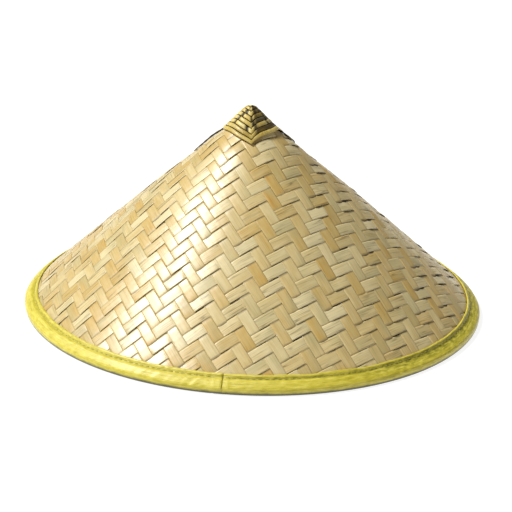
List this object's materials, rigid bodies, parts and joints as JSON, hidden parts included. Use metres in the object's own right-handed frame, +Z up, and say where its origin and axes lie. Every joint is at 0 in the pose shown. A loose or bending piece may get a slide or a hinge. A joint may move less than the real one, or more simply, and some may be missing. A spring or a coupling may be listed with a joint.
{
  "type": "conical hat",
  "caption": "Wide conical hat of twill-plaited bamboo with a small woven cap on its tip, a cloth-bound rim and a head band held inside.",
  "frame": {"origin": "middle of the rim, on the surface that the rim rests on", "axes": "+Z up towards the tip, -Y towards the hat's front, where the front corner of the tip cap points"},
  "size_m": [0.4002, 0.4002, 0.1773],
  "materials": {
    "bamboo_strip": "flat split bamboo with a glossy skin, straw coloured",
    "tip_splint": "fine golden splints with a satin skin",
    "dark_cane": "dark stained cane, satin",
    "split_cane": "split cane, matt",
    "binding_tape": "shiny yellow woven tape",
    "binding_thread": "sewing thread",
    "twine": "twisted natural twine"
  },
  "bodies": {
    "root": {"binding_thread": "binding_thread", "chin_loop_left": "binding_tape", "chin_loop_right": "binding_tape", "frame_hoop_lower": "split_cane", "frame_hoop_middle": "split_cane", "frame_hoop_upper": "split_cane", "head_band": "split_cane", "head_band_hoop_lower": "split_cane", "head_band_hoop_upper": "split_cane", "head_band_tie_1": "twine", "head_band_tie_2": "twine", "head_band_tie_3": "twine", "head_band_tie_4": "twine", "head_band_tie_5": "twine", "head_band_tie_6": "twine", "head_band_tie_7": "twine", "head_band_tie_8": "twine", "mat_seam_thread": "twine", "outer_mat": "bamboo_strip", "rib_1": "split_cane", "rib_2": "split_cane", "rib_3": "split_cane", "rib_4": "split_cane", "rib_5": "split_cane", "rib_6": "split_cane", "rib_7": "split_cane", "rib_8": "split_cane", "rim_binding": "binding_tape", "rim_hoop_inner": "split_cane", "rim_hoop_outer": "split_cane", "tip_cap": "tip_splint", "tip_lacing_left": "dark_cane", "tip_lacing_right": "dark_cane"}
  },
  "joints": []
}
